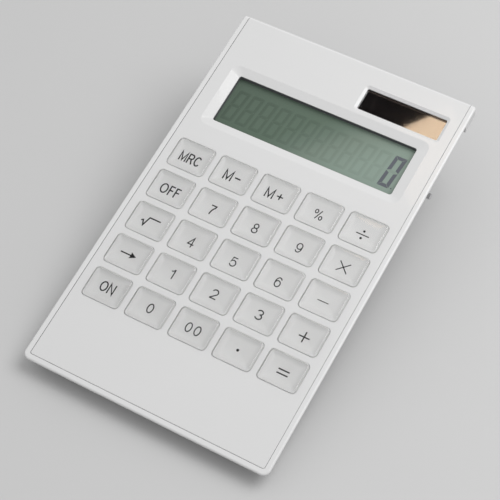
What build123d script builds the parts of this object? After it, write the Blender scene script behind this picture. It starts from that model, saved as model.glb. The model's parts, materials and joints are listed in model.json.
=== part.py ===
"""Desk calculator, dual powered, standing on its folding wire stand.

Sizes are millimetres.  Everything is laid out on the deck: u runs to the right, v to the rear
and levels are heights above the deck face, so the inside of the case has negative levels.  The
deck leans by the angle that the front feet and the stand give it, and the origin lies on the
desk, under the middle of the case.
"""

from build123d import *
from math import asin, atan2, cos, degrees, hypot, radians, sin, tan
import os

os.makedirs("parts", exist_ok=True)

# --- keys ---------------------------------------------------------------------------------
key_names = [
    ["key_on", "key_0", "key_00", "key_point", "key_equals"],
    ["key_backspace", "key_1", "key_2", "key_3", "key_plus"],
    ["key_sqrt", "key_4", "key_5", "key_6", "key_minus"],
    ["key_off", "key_7", "key_8", "key_9", "key_multiply"],
    ["key_mrc", "key_m_minus", "key_m_plus", "key_percent", "key_divide"],
]
key_pitch_u = 20.8
key_pitch_v = 17.5
key_width = 17.8
key_depth = 14.4
key_corner = 2.0
key_bevel = 0.6
key_rise = 1.4
key_travel = 1.2
key_gap = 0.2
flange_lip = 0.8
flange_thick = 0.7
rest_gap = 0.1
stem_drop = 0.7
stem_radius = 2.6

# --- case outline -------------------------------------------------------------------------
side_margin = 6.8
palm_depth = 35.0
rear_margin = 10.5
front_corner = 3.1
rear_corner = 2.4
base_corner = 3.0
floor_corner = 2.5
rim_width = 2.45
rim_edge = 1.0
edge_round = 0.85
rear_round = 2.2
seam = 0.2
cover_corner = 0.9
cover_edge = 0.2
rib = 0.8
past = 0.5
cover_wall = 1.6
floor_wall = 1.4
side_wall = 1.6
ledge = 1.2
side_flare = 4.6
front_flare = 11.0
rear_flare = 9.5
beam_depth = 5.4
beam_width = 11.5
beam_round = 0.5
rib_inset = 6.0
pad_wall = 0.6
lip_drop = 3.0
lip_thick = 1.5
lip_proud = 0.15
tab_width = 8.0
tab_reach = 0.7
tab_height = 0.6
tab_pitch = 36.0

# --- display ------------------------------------------------------------------------------
dish_gap = 10.1
dish_width = 96.5
dish_length = 33.4
dish_corner = 3.5
dish_sink = 1.2
window_width = 87.0
window_length = 25.3
window_corner = 1.1
gasket_height = 2.0
gasket_wall = 1.6
glass_thick = 0.9
glass_ledge = 1.8
reflector_thick = 0.2
foam_thick = 0.8
fence_wall = 0.9
fit_gap = 0.15

# --- solar cell ---------------------------------------------------------------------------
solar_gap = 1.6
solar_centre_u = 29.9
solar_width = 38.2
solar_length = 11.2
solar_bevel = 1.25
solar_sink = 0.8
solar_corner = 0.8
solar_rim_corner = 1.75
lead_width = 0.8
lead_thick = 0.3
lead_pitch = 1.2
lead_gap = 0.4
lead_start = 2.0
lead_overlap = 1.5
lens_flange = 1.2
lens_thick = 0.7
cell_thick = 1.1

# --- board and dome sheet -----------------------------------------------------------------
dome_gap = 0.05
dome_rise = 1.45
dome_base = 4.4
dome_top = 2.4
dome_wall = 0.45
pill_radius = 1.7
web_thick = 0.6
board_thick = 1.0
solder_room = 2.3
sheet_margin = 1.2
board_front = 6.8
board_side_gap = 1.9
pad_thick = 0.08
pad_slot = 0.5
blob_height = 0.9
blob_radius = 6.0
blob_slope = 0.5
capacitor_length = 2.0
capacitor_width = 1.4
ribbon_half = 30.0
ribbon_thick = 0.15
ribbon_step = 0.55
foam_half = 34.0
foam_half_v = 2.0
foam_offset = 8.0

# --- fasteners ----------------------------------------------------------------------------
case_screw_u = 46.5
case_screw_front = 18.0
case_screw_rear = 5.2
case_screw_radius = 0.95
case_head_radius = 1.9
case_head_height = 1.0
case_head_sunk = 0.2
case_boss = 2.6
board_screw_u = 22.0
board_screw_out = 4.0
board_screw_radius = 0.8
board_head_radius = 1.6
board_head_height = 0.9
board_boss = 1.9
thread_gap = 0.05

# --- stand --------------------------------------------------------------------------------
wire_radius = 1.4
wire_sunk = 0.4
pivot_from_rear = 44.95
stand_leg = 27.6
stand_lean = 19.0
stand_end = 57.3
stand_knee = 47.2
stand_foot = 38.0
knee_bend = 2.6
foot_bend = 5.0
wire_chamfer = 0.3
pin_gap = 0.06
snap_mouth = 2.45
stop_clear = 0.05
grip_sink = 0.8
groove_gap = 0.35
knee_gap = 0.6
tub_wall = 0.75
sleeve_radius = 2.1
sleeve_length = 15.0
sleeve_pitch = 46.0
grip_width = 20.0

# --- feet, battery and door ---------------------------------------------------------------
foot_height = 1.2
foot_seat = 0.4
front_foot_u = 30.0
front_foot_width = 13.0
front_foot_length = 7.2
front_foot_inset = 0.6
rear_foot_u = 24.0
rear_foot_radius = 4.5
rear_foot_inset = 16.5
battery_radius = 5.8
battery_height = 3.05
battery_gap = 0.3
battery_from_front = 18.7
well_wall = 1.2
strip_thick = 0.25
contact_half = 1.8
strip_overlap = 2.5
can_height = 2.35
can_edge = 0.2
cap_step = 1.1
well_half = 11.5
foot_gap = 0.1
foot_edge = 0.3
door_half = 9.0
door_tongue = 0.9
door_thick = 1.15
door_step = 0.55
door_gap = 0.15
door_rear = 11.0

# --- what follows from them ---------------------------------------------------------------
grid_u = 2 * key_pitch_u + key_width / 2
grid_v = 2 * key_pitch_v + key_depth / 2
half_width = grid_u + side_margin
front = -(grid_v + palm_depth)
display_v = grid_v + dish_gap + dish_length / 2
solar_v = display_v + dish_length / 2 + solar_gap + solar_bevel + solar_length / 2
rear = solar_v + solar_length / 2 + solar_bevel + rear_margin

flange_level = -cover_wall - rest_gap
stem_level = flange_level - flange_thick - stem_drop
dome_level = stem_level - dome_gap
web_level = dome_level - dome_rise
board_level = web_level - web_thick
under_board = board_level - board_thick
floor_level = under_board - solder_room
base_level = floor_level - floor_wall

glass_level = -cover_wall - gasket_height
rear_glass_level = glass_level - glass_thick
reflector_level = rear_glass_level - glass_thick
foam_level = reflector_level - reflector_thick

glass_half = window_width / 2 + gasket_wall
glass_front = display_v - window_length / 2 - gasket_wall
glass_rear = display_v + window_length / 2 + gasket_wall
board_edge = glass_front - glass_ledge - ribbon_step
foam_spots = [display_v - foam_offset, display_v + foam_offset]
lens_half_u = solar_width / 2 + lens_flange
lens_half_v = solar_length / 2 + lens_flange
sheet_half_u = grid_u + sheet_margin
sheet_half_v = grid_v + sheet_margin

pivot_v = rear - pivot_from_rear
pivot_level = base_level + wire_sunk + wire_radius
lean = radians(stand_lean)
bar_v = pivot_v - stand_leg * sin(lean)
bar_level = pivot_level - stand_leg * cos(lean)
folded_v = pivot_v + stand_leg
groove_radius = wire_radius + groove_gap
groove_level = pivot_level + wire_radius + fit_gap

foot_level = base_level - foot_height
foot_v = front + front_flare + front_foot_inset + front_foot_length / 2

# the desk touches the front feet at (foot_v, foot_level) and the sleeves from below
reach = bar_v - foot_v
drop = foot_level - bar_level
tilt = atan2(drop, reach) + asin(sleeve_radius / hypot(reach, drop))

rearward = Vector(0, cos(tilt), sin(tilt))
upward = Vector(0, -sin(tilt), cos(tilt))


def inset(flare, level):
    """How far a sloping side has come in from the rim at one level."""
    return flare * (-rim_edge - level) / (-rim_edge - base_level)


def deck(level=0.0, u=0.0, v=0.0):
    """The plane parallel to the deck face at one level, with its origin at (u, v)."""
    spot = home + Vector(u, 0, 0) + rearward * v + upward * level
    return Plane(origin=spot, x_dir=(1, 0, 0), z_dir=upward)


def spot(u, v, level):
    """A point of the case in the part's own frame."""
    return home + Vector(u, 0, 0) + rearward * v + upward * level


def side(u=0.0):
    """The upright plane across the case at u, with local x to the rear and local y upward."""
    return Plane(origin=home + Vector(u, 0, 0), x_dir=rearward, z_dir=(1, 0, 0))


def save(part, name):
    """Label one finished piece and write its STEP file."""
    part.label = name
    export_step(part, f"parts/{name}.step")


def plate(level, top, half_u, v_front, v_rear, mode=Mode.ADD, u=0.0):
    """A square-cornered block between two levels."""
    with BuildSketch(deck(level, u, (v_front + v_rear) / 2)) as shape:
        Rectangle(2 * half_u, v_rear - v_front)
    extrude(shape.sketch, amount=top - level, mode=mode)


def disc(level, top, radius, u, v, mode=Mode.ADD):
    """A round post or hole between two levels."""
    with BuildSketch(deck(level, u, v)) as shape:
        Circle(radius)
    extrude(shape.sketch, amount=top - level, mode=mode)


def rounded(level, top, width, length, corner, u, v, mode=Mode.ADD):
    """A block with rounded corners between two levels."""
    with BuildSketch(deck(level, u, v)) as shape:
        RectangleRounded(width, length, corner)
    extrude(shape.sketch, amount=top - level, mode=mode)


def outline(level, half_u, v_front, v_rear, corner):
    """The rounded outline of the case, or of its hollow, at one level."""
    with BuildSketch(deck(level, 0, (v_front + v_rear) / 2)) as shape:
        RectangleRounded(2 * half_u, v_rear - v_front, corner)
    return shape.sketch


def round_rear(face_v):
    """Round over the rear top edge of the part being built, all across, behind the face at face_v."""
    with BuildSketch(side(-half_width - past)) as corner:
        with Locations((face_v - rear_round, -rear_round)):
            Rectangle(rear_round + past, rear_round + past, align=(Align.MIN, Align.MIN))
            Circle(rear_round, mode=Mode.SUBTRACT)
    extrude(corner.sketch, amount=2 * (half_width + past), mode=Mode.SUBTRACT)


# --- places inside the case ----------------------------------------------------------------
board_half = half_width - inset(side_flare, floor_level) - side_wall - board_side_gap
pad_level = floor_level + floor_wall / 2
head_seat = base_level + case_head_height + case_head_sunk
case_screw_tip = -cover_wall - rib
board_screw_tip = -cover_wall - rib
knee_turn = radians(90) + atan2(stand_knee - stand_foot, stand_leg)
bearing_in = stand_knee + knee_bend * tan(knee_turn / 2)

battery_v = front + battery_from_front
door_top = base_level + door_thick
door_end = battery_v + door_rear
roof_level = floor_level + rib
well_level = board_level - fit_gap
well_front = front + inset(front_flare, floor_level) + fit_gap
strip_end = -grid_v - board_front + strip_overlap

front_y = front * cos(tilt) + rim_edge * sin(tilt)
rear_y = (rear + lip_proud) * cos(tilt) + lip_drop * sin(tilt)
home = Vector(0, -(front_y + rear_y) / 2, -(foot_v * sin(tilt) + foot_level * cos(tilt)))

case_screw_spots = [
    (sign * case_screw_u, v)
    for sign in (-1, 1)
    for v in (-grid_v - case_screw_front, grid_v + case_screw_rear)
]
board_screw_spots = [
    (sign * board_screw_u, end * (grid_v + board_screw_out)) for sign in (-1, 1) for end in (-1, 1)
]
key_spots = [
    (name, (column - 2) * key_pitch_u, (row - 2) * key_pitch_v)
    for row, names in enumerate(key_names)
    for column, name in enumerate(names)
]
front_feet_spots = [(-front_foot_u, foot_v), (front_foot_u, foot_v)]
rear_foot_v = folded_v - sleeve_radius - groove_gap - rear_foot_inset / 2
rear_feet_spots = [(-rear_foot_u, rear_foot_v), (rear_foot_u, rear_foot_v)]
between_keys = [-1.5, -0.5, 0.5, 1.5]
deck_axis = Axis(home, upward)

# --- bottom case: rim, sloping tray and rear beam -----------------------------------------
with BuildPart() as bottom_case:
    with BuildSketch(deck(0, 0, rear - beam_width / 2)) as beam:
        Rectangle(2 * half_width, beam_width)
        fillet(beam.vertices().group_by(Axis.Y)[-1], rear_corner)
    extrude(amount=-beam_depth)
    fillet(bottom_case.faces().sort_by(deck_axis)[0].edges(), beam_round)
    with BuildSketch(deck(0, 0, (front + rear) / 2)) as rim:
        Rectangle(2 * half_width, rear - front)
        fillet(rim.vertices().group_by(Axis.Y)[-1], rear_corner)
        fillet(rim.vertices().group_by(Axis.Y)[0], front_corner)
    extrude(amount=-rim_edge)
    fillet(bottom_case.faces().sort_by(deck_axis)[-1].edges(), edge_round)
    round_rear(rear)
    rim_line = outline(-rim_edge, half_width, front, rear, front_corner)
    base_line = outline(
        base_level, half_width - side_flare, front + front_flare, rear - rear_flare, base_corner
    )
    loft([rim_line, base_line])

    # the hollow, under a ledge that carries the cover
    hollow_top = outline(
        -cover_wall,
        half_width - rim_width - ledge,
        front + rim_width + ledge,
        rear - lip_thick - ledge,
        base_corner,
    )
    hollow_base = outline(
        floor_level,
        half_width - inset(side_flare, floor_level) - side_wall,
        front + inset(front_flare, floor_level) + side_wall,
        rear - inset(rear_flare, floor_level) - side_wall,
        floor_corner,
    )
    loft([hollow_top, hollow_base], mode=Mode.SUBTRACT)
    seat_half = half_width - rim_width
    seat_front = front + rim_width
    with BuildSketch(deck(-cover_wall, 0, (seat_front + rear + lip_proud) / 2)) as seat:
        Rectangle(2 * seat_half, rear + lip_proud - seat_front)
        fillet(seat.vertices().group_by(Axis.Y)[0], cover_corner + seam)
    extrude(amount=cover_wall, mode=Mode.SUBTRACT)
    lip_face = rear + lip_proud - lip_thick - fit_gap
    plate(-lip_drop - fit_gap, 0, seat_half, lip_face, rear + lip_proud, Mode.SUBTRACT)
    for tab_u in (-tab_pitch, 0, tab_pitch):
        slot_top = -lip_drop + tab_height + 2 * fit_gap
        plate(
            -lip_drop - fit_gap, slot_top, tab_width / 2 + fit_gap,
            lip_face - tab_reach - fit_gap, rear, Mode.SUBTRACT, tab_u,
        )

    # raised walls inside the tray, over the grooves that take the folded stand
    skin = half_width - inset(side_flare, floor_level)
    tub_half = groove_radius + tub_wall
    corner_half = (foot_bend + groove_radius) / 2
    corner_u = stand_foot + groove_radius - corner_half
    for hand in (-1, 1):
        with BuildSketch(deck(floor_level)):
            with BuildLine():
                Line((hand * stand_knee, pivot_v), (hand * stand_foot, folded_v))
            trace(line_width=2 * tub_half)
        extrude(amount=groove_level + tub_wall - floor_level)
        lug_in = stand_knee - tub_half - knee_gap
        lug_out = skin - tub_wall / 2
        plate(
            floor_level, groove_level + tub_wall, (lug_out - lug_in) / 2,
            pivot_v - tub_half, pivot_v + tub_half, u=hand * (lug_in + lug_out) / 2,
        )
        plate(
            floor_level, groove_level + tub_wall, corner_half + tub_wall,
            folded_v - foot_bend - tub_wall, folded_v, u=hand * corner_u,
        )
    bar_groove = sleeve_radius + groove_gap
    plate(
        floor_level, pivot_level + bar_groove + tub_wall, stand_foot + tub_half,
        folded_v - bar_groove - tub_wall, folded_v + bar_groove + tub_wall,
    )

    # battery well and the roof of the door's track
    plate(floor_level, roof_level, well_half, well_front, door_end + well_wall)
    well_rear = battery_v + battery_radius + battery_gap + well_wall
    plate(floor_level, well_level, well_half, well_front, well_rear)

    # pads round the case screws, ribs under the board and the display
    for u, v in case_screw_spots:
        disc(floor_level, pad_level, case_boss + pad_wall, u, v)
    for step in between_keys:
        v = step * key_pitch_v
        plate(floor_level, under_board - dome_gap, board_half - rib_inset, v - rib / 2, v + rib / 2)
    for v in foam_spots:
        plate(floor_level, foam_level - foam_thick, foam_half, v - rib / 2, v + rib / 2)

    # grooves for the folded stand: legs, knees, bearings with a snap mouth, foot bar
    low = base_level - past
    for hand in (-1, 1):
        with BuildSketch(deck(low)):
            with BuildLine():
                Line((hand * stand_knee, pivot_v), (hand * stand_foot, folded_v))
            trace(line_width=2 * groove_radius)
        extrude(amount=groove_level - low, mode=Mode.SUBTRACT)
        plate(
            low, groove_level, corner_half, folded_v - foot_bend, folded_v, Mode.SUBTRACT, hand * corner_u
        )
        knee_in = stand_knee - groove_radius - knee_gap
        plate(
            low, groove_level, (bearing_in - knee_in) / 2,
            pivot_v - wire_radius - fit_gap, pivot_v + groove_radius,
            Mode.SUBTRACT, hand * (knee_in + bearing_in) / 2,
        )
        # the front wall of the knee pocket leans with the leg, which stops against it
        stop_gap = (wire_radius + stop_clear) / cos(lean)
        with BuildSketch(side(hand * knee_in)):
            with BuildLine():
                Polyline(
                    (pivot_v - stop_gap, pivot_level),
                    (pivot_v, pivot_level),
                    (pivot_v, low),
                    (pivot_v - (pivot_level - low) * tan(lean) - stop_gap, low),
                    close=True,
                )
            make_face()
        extrude(amount=hand * (bearing_in - knee_in), mode=Mode.SUBTRACT)
        with BuildSketch(side(hand * bearing_in)):
            with Locations((pivot_v, pivot_level)):
                Circle(wire_radius + pin_gap)
            with Locations((pivot_v, (pivot_level + low) / 2)):
                Rectangle(snap_mouth, pivot_level - low)
        extrude(amount=hand * (half_width - bearing_in), mode=Mode.SUBTRACT)
    plate(
        low, pivot_level + bar_groove, stand_foot + groove_radius,
        folded_v - bar_groove, folded_v + bar_groove, Mode.SUBTRACT,
    )
    plate(low, base_level + grip_sink, grip_width / 2, folded_v, folded_v + 3 * bar_groove, Mode.SUBTRACT)

    # battery well, its contact slot and the door's track
    disc(low, well_level, battery_radius + battery_gap, 0, battery_v, Mode.SUBTRACT)
    slot_in = battery_radius - well_wall
    plate(
        door_top + door_gap, well_level, well_wall, battery_v - contact_half - battery_gap,
        battery_v + contact_half + battery_gap, Mode.SUBTRACT, slot_in + well_wall,
    )
    plate(low, door_top + door_gap, door_half + door_gap, front, door_end + door_gap, Mode.SUBTRACT)
    plate(
        door_top - door_step - door_gap, door_top + door_gap, door_half + door_tongue + door_gap,
        front, door_end + door_gap, Mode.SUBTRACT,
    )

    # screw holes and foot seats
    for u, v in case_screw_spots:
        disc(low, pad_level, case_screw_radius + fit_gap, u, v, Mode.SUBTRACT)
        disc(low, head_seat, case_head_radius + fit_gap, u, v, Mode.SUBTRACT)
        disc(pad_level, -cover_wall, case_boss + fit_gap, u, v, Mode.SUBTRACT)
    for u, v in front_feet_spots:
        plate(
            low, base_level + foot_seat, front_foot_width / 2 + foot_gap,
            v - front_foot_length / 2 - foot_gap, v + front_foot_length / 2 + foot_gap, Mode.SUBTRACT, u,
        )
    for u, v in rear_feet_spots:
        disc(low, base_level + foot_seat, rear_foot_radius + foot_gap, u, v, Mode.SUBTRACT)
save(bottom_case.part, "bottom_case")

# --- top cover ----------------------------------------------------------------------------
cover_half = seat_half - seam
cover_rear = rear + lip_proud
with BuildPart() as top_cover:
    plate(-cover_wall, 0, cover_half, seat_front + seam, cover_rear)
    front_corners = top_cover.edges().filter_by(deck_axis).sort_by(Axis(home, rearward))[:2]
    fillet(front_corners, cover_corner)
    face_edges = top_cover.faces().sort_by(deck_axis)[-1].edges().sort_by(Axis(home, rearward))
    chamfer(face_edges[:-1], cover_edge)
    plate(-lip_drop, -cover_wall, cover_half, cover_rear - lip_thick, cover_rear)
    round_rear(cover_rear)
    for tab_u in (-tab_pitch, 0, tab_pitch):
        plate(
            -lip_drop, -lip_drop + tab_height, tab_width / 2,
            cover_rear - lip_thick - tab_reach, cover_rear - lip_thick, u=tab_u,
        )

    # stiffening ribs between the keys, which also hold the dome sheet down
    rib_level = web_level + dome_gap
    for step in between_keys:
        plate(rib_level, -cover_wall, rib / 2, -grid_v, grid_v, u=step * key_pitch_u)
        rib_v = step * key_pitch_v
        plate(rib_level, -cover_wall, grid_u, rib_v - rib / 2, rib_v + rib / 2)

    # fence round the display, open at the front for its ribbon
    fence_in = glass_half + fit_gap
    fence_level = foam_level + fit_gap
    for hand in (-1, 1):
        plate(
            fence_level, -cover_wall, fence_wall / 2, glass_front, glass_rear + fit_gap,
            u=hand * (fence_in + fence_wall / 2),
        )
    fence_rear = glass_rear + fit_gap
    plate(fence_level, -cover_wall, fence_in + fence_wall, fence_rear, fence_rear + fence_wall)

    # frame round the solar cell
    with BuildSketch(deck(-cover_wall, solar_centre_u, solar_v)):
        Rectangle(2 * (lens_half_u + fit_gap + fence_wall), 2 * (lens_half_v + fit_gap + fence_wall))
        Rectangle(2 * (lens_half_u + fit_gap), 2 * (lens_half_v + fit_gap), mode=Mode.SUBTRACT)
    extrude(amount=-(lens_thick + cell_thick - fit_gap))

    # screw bosses
    for u, v in case_screw_spots:
        disc(pad_level + dome_gap, -cover_wall, case_boss, u, v)
        disc(pad_level, case_screw_tip, case_screw_radius + thread_gap, u, v, Mode.SUBTRACT)
    for u, v in board_screw_spots:
        disc(board_level, -cover_wall, board_boss, u, v)
        disc(board_level, board_screw_tip, board_screw_radius + thread_gap, u, v, Mode.SUBTRACT)

    # key apertures
    with BuildSketch(deck()):
        with GridLocations(key_pitch_u, key_pitch_v, 5, 5):
            RectangleRounded(key_width + 2 * key_gap, key_depth + 2 * key_gap, key_corner + key_gap)
    extrude(amount=-cover_wall, mode=Mode.SUBTRACT)

    # dished display window and bevelled solar window
    with BuildSketch(deck(0, 0, display_v)):
        RectangleRounded(dish_width, dish_length, dish_corner)
    with BuildSketch(deck(-dish_sink, 0, display_v)):
        RectangleRounded(window_width, window_length, window_corner)
    loft(mode=Mode.SUBTRACT)
    rounded(-cover_wall, -dish_sink, window_width, window_length, window_corner, 0, display_v, Mode.SUBTRACT)
    with BuildSketch(deck(0, solar_centre_u, solar_v)):
        RectangleRounded(solar_width + 2 * solar_bevel, solar_length + 2 * solar_bevel, solar_rim_corner)
    with BuildSketch(deck(-solar_sink, solar_centre_u, solar_v)):
        RectangleRounded(solar_width, solar_length, solar_corner)
    loft(mode=Mode.SUBTRACT)
    rounded(
        -cover_wall, -solar_sink, solar_width, solar_length, solar_corner,
        solar_centre_u, solar_v, Mode.SUBTRACT,
    )
save(top_cover.part, "top_cover")

# --- keys: clear caps on a flange, with a stem over each dome ------------------------------
for key_name, u, v in key_spots:
    with BuildPart() as key:
        rounded(flange_level, key_rise, key_width, key_depth, key_corner, u, v)
        chamfer(key.faces().sort_by(deck_axis)[-1].edges(), key_bevel)
        rounded(
            flange_level - flange_thick, flange_level, key_width + 2 * flange_lip,
            key_depth + 2 * flange_lip, key_corner + flange_lip, u, v,
        )
        disc(stem_level, flange_level - flange_thick, stem_radius, u, v)
    save(key.part, key_name)

# --- rubber dome sheet and circuit board ---------------------------------------------------
dome_slope = degrees(atan2(dome_base - dome_top, dome_rise))
with BuildPart() as dome_sheet:
    plate(board_level, web_level, sheet_half_u, -sheet_half_v, sheet_half_v)
    with BuildSketch(deck(web_level)):
        with GridLocations(key_pitch_u, key_pitch_v, 5, 5):
            Circle(dome_base)
    extrude(amount=dome_rise, taper=dome_slope)
    with BuildSketch(deck(board_level)):
        with GridLocations(key_pitch_u, key_pitch_v, 5, 5):
            Circle(dome_base - dome_wall)
    extrude(amount=web_thick + dome_rise - dome_wall, taper=dome_slope, mode=Mode.SUBTRACT)
    with BuildSketch(deck(board_level + key_travel)):
        with GridLocations(key_pitch_u, key_pitch_v, 5, 5):
            Circle(pill_radius)
    extrude(amount=web_thick + dome_rise - key_travel)
save(dome_sheet.part, "dome_sheet")

with BuildPart() as circuit_board:
    plate(under_board, board_level, board_half, -grid_v - board_front, board_edge)
    for u, v in board_screw_spots:
        disc(under_board, board_level, board_screw_radius + fit_gap, u, v, Mode.SUBTRACT)
    notch = case_boss + fit_gap
    for hand in (-1, 1):
        plate(
            under_board, board_level, (board_half - case_screw_u + notch) / 2,
            grid_v + case_screw_rear - notch, board_edge, Mode.SUBTRACT,
            hand * (board_half + case_screw_u - notch) / 2,
        )
save(circuit_board.part, "circuit_board")

with BuildPart() as contact_pads:
    with BuildSketch(deck(board_level)):
        with GridLocations(key_pitch_u, key_pitch_v, 5, 5):
            Circle(stem_radius)
            Rectangle(pad_slot, 3 * stem_radius, mode=Mode.SUBTRACT)
    extrude(amount=pad_thick)
save(contact_pads.part, "contact_pads")

with BuildPart() as chip_blob:
    disc(under_board - blob_height, under_board, blob_radius, 0, key_pitch_v)
    chamfer(chip_blob.faces().sort_by(deck_axis)[0].edges(), blob_slope)
save(chip_blob.part, "chip_blob")

with BuildPart() as board_capacitors:
    half_v = capacitor_width / 2
    for u, v in [(-key_pitch_u, 0), (-key_pitch_u, -key_pitch_v), (key_pitch_u, 0)]:
        plate(under_board - blob_height, under_board, capacitor_length / 2, v - half_v, v + half_v, u=u)
save(board_capacitors.part, "board_capacitors")

# --- display ------------------------------------------------------------------------------
with BuildPart() as display_gasket:
    with BuildSketch(deck(glass_level, 0, display_v)):
        Rectangle(2 * glass_half, glass_rear - glass_front)
        RectangleRounded(window_width, window_length, window_corner, mode=Mode.SUBTRACT)
    extrude(amount=gasket_height)
save(display_gasket.part, "display_gasket")

with BuildPart() as lcd_front_glass:
    plate(rear_glass_level, glass_level, glass_half, glass_front, glass_rear)
save(lcd_front_glass.part, "lcd_front_glass")

with BuildPart() as lcd_rear_glass:
    plate(reflector_level, rear_glass_level, glass_half, glass_front - glass_ledge, glass_rear)
save(lcd_rear_glass.part, "lcd_rear_glass")

with BuildPart() as lcd_reflector:
    plate(foam_level, reflector_level, window_width / 2, glass_front, glass_rear)
save(lcd_reflector.part, "lcd_reflector")

with BuildPart() as lcd_foam_pads:
    for v in foam_spots:
        plate(foam_level - foam_thick, foam_level, foam_half, v - foam_half_v, v + foam_half_v)
save(lcd_foam_pads.part, "lcd_foam_pads")

# the ribbon steps down from the ledge of the rear glass to the board
ribbon_rise = ribbon_thick / 2
with BuildPart() as lcd_ribbon:
    with BuildSketch(side(-ribbon_half)):
        with BuildLine():
            Polyline(
                (glass_front - fit_gap, rear_glass_level + ribbon_rise),
                (glass_front - glass_ledge - fit_gap, rear_glass_level + ribbon_rise),
                (board_edge - fit_gap, board_level + ribbon_rise),
                (board_edge - glass_ledge, board_level + ribbon_rise),
            )
        trace(line_width=ribbon_thick)
    extrude(amount=2 * ribbon_half)
save(lcd_ribbon.part, "lcd_ribbon")

# --- solar cell ---------------------------------------------------------------------------
with BuildPart() as solar_window:
    plate(
        -cover_wall - lens_thick, -cover_wall, lens_half_u, solar_v - lens_half_v,
        solar_v + lens_half_v, u=solar_centre_u,
    )
    rounded(
        -cover_wall, -solar_sink - rest_gap, solar_width - 2 * fit_gap, solar_length - 2 * fit_gap,
        solar_corner - fit_gap, solar_centre_u, solar_v,
    )
save(solar_window.part, "solar_window")

cell_level = -cover_wall - lens_thick
with BuildPart() as solar_cell:
    plate(
        cell_level - cell_thick, cell_level, lens_half_u - fit_gap, solar_v - lens_half_v + fit_gap,
        solar_v + lens_half_v - fit_gap, u=solar_centre_u,
    )
save(solar_cell.part, "solar_cell")

# two flat leads run forward from the cell, down behind the display and under it to the board
lead_v = (glass_rear + fit_gap + fence_wall + folded_v - foot_bend - tub_wall) / 2
lead_high = cell_level - cell_thick - lead_thick / 2
lead_low = under_board - lead_gap - lead_thick / 2
lead_end = board_edge - lead_overlap
with BuildPart() as solar_leads:
    for lane in (0, 1):
        with BuildSketch(side(foam_half + lead_gap + lane * lead_pitch)):
            with BuildLine():
                Polyline(
                    (solar_v - lens_half_v + lead_start, lead_high),
                    (lead_v, lead_high),
                    (lead_v, lead_low),
                    (lead_end, lead_low),
                    (lead_end, under_board),
                )
            trace(line_width=lead_thick)
        extrude(amount=lead_width)
save(solar_leads.part, "solar_leads")

# --- battery and its door -----------------------------------------------------------------
battery_level = door_top + dome_gap
with BuildPart() as battery:
    disc(battery_level, battery_level + can_height, battery_radius, 0, battery_v)
    chamfer(battery.edges().filter_by(GeomType.CIRCLE), can_edge)
    disc(battery_level, battery_level + battery_height, battery_radius - cap_step, 0, battery_v)
save(battery.part, "battery")

with BuildPart() as battery_contact_minus:
    plate(board_level, board_level + strip_thick, contact_half, battery_v - contact_half, strip_end)
save(battery_contact_minus.part, "battery_contact_minus")

with BuildPart() as battery_contact_plus:
    blade_u = battery_radius + dome_gap
    plate(
        battery_level, board_level + strip_thick, strip_thick / 2, battery_v - contact_half,
        battery_v + contact_half, u=blade_u + strip_thick / 2,
    )
    plate(
        board_level, board_level + strip_thick, contact_half / 2, battery_v - contact_half,
        strip_end, u=blade_u + contact_half / 2,
    )
save(battery_contact_plus.part, "battery_contact_plus")

with BuildPart() as battery_door:
    plate(base_level, door_top, door_half, front, door_end)
    plate(door_top - door_step, door_top, door_half + door_tongue, front, door_end)
    for step in range(3):
        ridge_v = battery_v + step * 3 * rib
        plate(low, base_level + grip_sink / 2, door_half / 2, ridge_v, ridge_v + rib, Mode.SUBTRACT)
    slope = rearward * -(-rim_edge - base_level) - upward * front_flare
    toe = home + rearward * (front + front_flare) + upward * base_level
    split(bisect_by=Plane(origin=toe, x_dir=(1, 0, 0), z_dir=slope), keep=Keep.BOTTOM)
save(battery_door.part, "battery_door")

# --- wire stand, sleeves and feet ---------------------------------------------------------
leg_way = -rearward * sin(lean) - upward * cos(lean)
stand_plane = Plane(
    origin=spot(0, pivot_v, pivot_level), x_dir=(1, 0, 0), z_dir=Vector(1, 0, 0).cross(leg_way)
)
with BuildPart() as stand_wire:
    with BuildLine(stand_plane) as wire:
        FilletPolyline(
            (-stand_end, 0),
            (-stand_knee, 0),
            (-stand_foot, stand_leg),
            (stand_foot, stand_leg),
            (stand_knee, 0),
            (stand_end, 0),
            radius=[knee_bend, foot_bend, foot_bend, knee_bend],
        )
    with BuildSketch(Plane(origin=wire.line @ 0, z_dir=wire.line % 0)):
        Circle(wire_radius)
    sweep(path=wire.line)
    chamfer(stand_wire.faces().sort_by(Axis.X)[0].edges(), wire_chamfer)
    chamfer(stand_wire.faces().sort_by(Axis.X)[-1].edges(), wire_chamfer)
save(stand_wire.part, "stand_wire")

with BuildPart() as stand_sleeves:
    for hand in (-1, 1):
        with BuildSketch(side(hand * sleeve_pitch / 2 - sleeve_length / 2)):
            with Locations((bar_v, bar_level)):
                Circle(sleeve_radius)
                Circle(wire_radius, mode=Mode.SUBTRACT)
        extrude(amount=sleeve_length)
save(stand_sleeves.part, "stand_sleeves")

# each front foot has a flat for lying down and a facet that meets the desk when tilted
with BuildPart() as front_feet:
    foot_half = front_foot_length / 2
    for u, v in front_feet_spots:
        with BuildSketch(side(u - front_foot_width / 2)):
            with BuildLine():
                Polyline(
                    (v - foot_half, base_level + foot_seat),
                    (v + foot_half, base_level + foot_seat),
                    (v + foot_half, foot_level),
                    (v, foot_level),
                    (v - foot_half, foot_level + foot_half * tan(tilt)),
                    close=True,
                )
            make_face()
        extrude(amount=front_foot_width)
save(front_feet.part, "front_feet")

with BuildPart() as rear_feet:
    for u, v in rear_feet_spots:
        disc(foot_level, base_level + foot_seat, rear_foot_radius, u, v)
    chamfer(rear_feet.faces().group_by(deck_axis)[0].edges(), foot_edge)
save(rear_feet.part, "rear_feet")

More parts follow.
